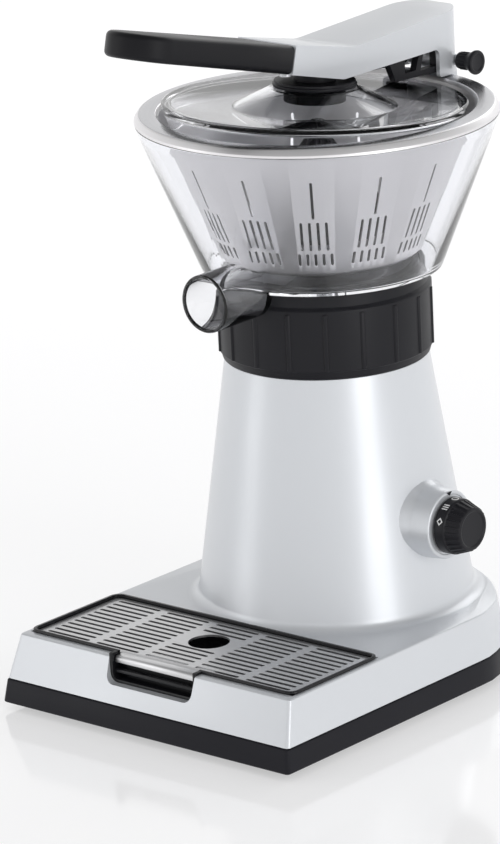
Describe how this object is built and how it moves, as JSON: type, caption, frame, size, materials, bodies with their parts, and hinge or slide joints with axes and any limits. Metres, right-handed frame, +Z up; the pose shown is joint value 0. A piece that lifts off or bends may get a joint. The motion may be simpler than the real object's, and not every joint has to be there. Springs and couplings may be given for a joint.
{
  "type": "citrus press juicer",
  "caption": "Free-standing lever citrus press: drip-tray base, conical column with selector knob, clear spouted bowl, steel strainer and hinged press arm with a clear lid.",
  "frame": {"origin": "middle of the object's footprint box, on the worktop", "axes": "+Z up; the front, with the drip tray, spout and grip, faces -Y; the selector knob and the pin's handle are on the +X side; the arm swings in the plane X = 0"},
  "size_m": [0.2, 0.269, 0.381],
  "materials": {
    "silver_paint": "satin",
    "black_plastic": "matte",
    "charcoal_plastic": "matte",
    "rubber": "matte",
    "stainless": "satin",
    "steel": "machined",
    "clear_plastic": "clear",
    "gear_plastic": "moulded",
    "bronze": "sintered",
    "copper": "wound",
    "housing_plastic": "moulded",
    "board": "lacquered",
    "parts": "moulded",
    "switch_plastic": "moulded"
  },
  "bodies": {
    "base": {"body_shell": "silver_paint", "column_shell": "silver_paint", "rear_strut": "silver_paint", "pointer_mark": "charcoal_plastic", "base_cover": "charcoal_plastic", "rubber_feet": "rubber", "base_screws": "steel", "cord_gland": "charcoal_plastic", "juice_bowl": "clear_plastic", "bowl_seal": "rubber", "strainer_basket": "stainless", "shaft_seal": "rubber", "upper_bush": "bronze", "lower_bush": "bronze", "gearbox_housing": "housing_plastic", "gearbox_cover": "housing_plastic", "gearbox_screws": "steel", "idler_pin": "steel", "motor_can": "steel", "motor_end_cap": "charcoal_plastic", "motor_damper": "rubber", "motor_screws": "steel", "selector_switch": "switch_plastic", "control_board": "board", "board_parts": "parts"},
    "tray": {"drip_tray": "black_plastic"},
    "grid": {"drip_grid": "stainless"},
    "collar": {"lock_collar": "black_plastic"},
    "spindle": {"reamer_cone": "black_plastic", "drive_spindle": "steel", "output_gear": "gear_plastic"},
    "idler": {"idler_gear": "gear_plastic"},
    "rotor": {"motor_pinion": "bronze", "motor_shaft": "steel", "motor_armature": "copper"},
    "knob": {"selector_knob": "black_plastic", "selector_shaft": "steel"},
    "arm": {"lever_arm": "silver_paint", "arm_liner": "black_plastic", "arm_grip": "black_plastic", "liner_screws": "steel", "press_pivot": "steel"},
    "press": {"press_hub": "black_plastic", "press_lid": "clear_plastic"},
    "pin": {"hinge_pin": "steel", "pin_handle": "black_plastic"}
  },
  "joints": [
    {"name": "arm_pivot", "type": "hinge", "parent": "base", "child": "arm", "pos_m": [0, 0.125, 0.317], "axis": [-1, 0, 0], "range_deg": [0, 70]},
    {"name": "press_tilt", "type": "hinge", "parent": "arm", "child": "press", "pos_m": [0, 0.028, 0.3325], "axis": [-1, 0, 0], "range_deg": [-2.5, 2.5]},
    {"name": "selector_turn", "type": "hinge", "parent": "base", "child": "knob", "pos_m": [0.07, 0.028, 0.091], "axis": [-1, 0, 0], "range_deg": [0, 90]},
    {"name": "reamer_spin", "type": "hinge", "parent": "base", "child": "spindle", "pos_m": [0, 0.028, 0.25], "axis": [0, 0, 1], "continuous": true},
    {"name": "idler_spin", "type": "hinge", "parent": "base", "child": "idler", "pos_m": [0, 0.0544, 0.118], "axis": [0, 0, 1], "continuous": true},
    {"name": "rotor_spin", "type": "hinge", "parent": "base", "child": "rotor", "pos_m": [0, 0.028, 0.08], "axis": [0, 0, 1], "continuous": true},
    {"name": "collar_turn", "type": "hinge", "parent": "base", "child": "collar", "pos_m": [0, 0.028, 0.19], "axis": [0, 0, 1], "range_deg": [0, 20]},
    {"name": "tray_lift", "type": "slide", "parent": "base", "child": "tray", "axis": [0, 0, 1], "range_m": [0, 0.08]},
    {"name": "grid_lift", "type": "slide", "parent": "tray", "child": "grid", "axis": [0, 0, 1], "range_m": [0, 0.03]},
    {"name": "pin_pull", "type": "slide", "parent": "base", "child": "pin", "axis": [1, 0, 0], "range_m": [0, 0.055]}
  ],
  "couplings": [
    {"joint": "idler_spin", "follows": "reamer_spin", "ratio": -3.7143},
    {"joint": "rotor_spin", "follows": "reamer_spin", "ratio": 16.714}
  ]
}
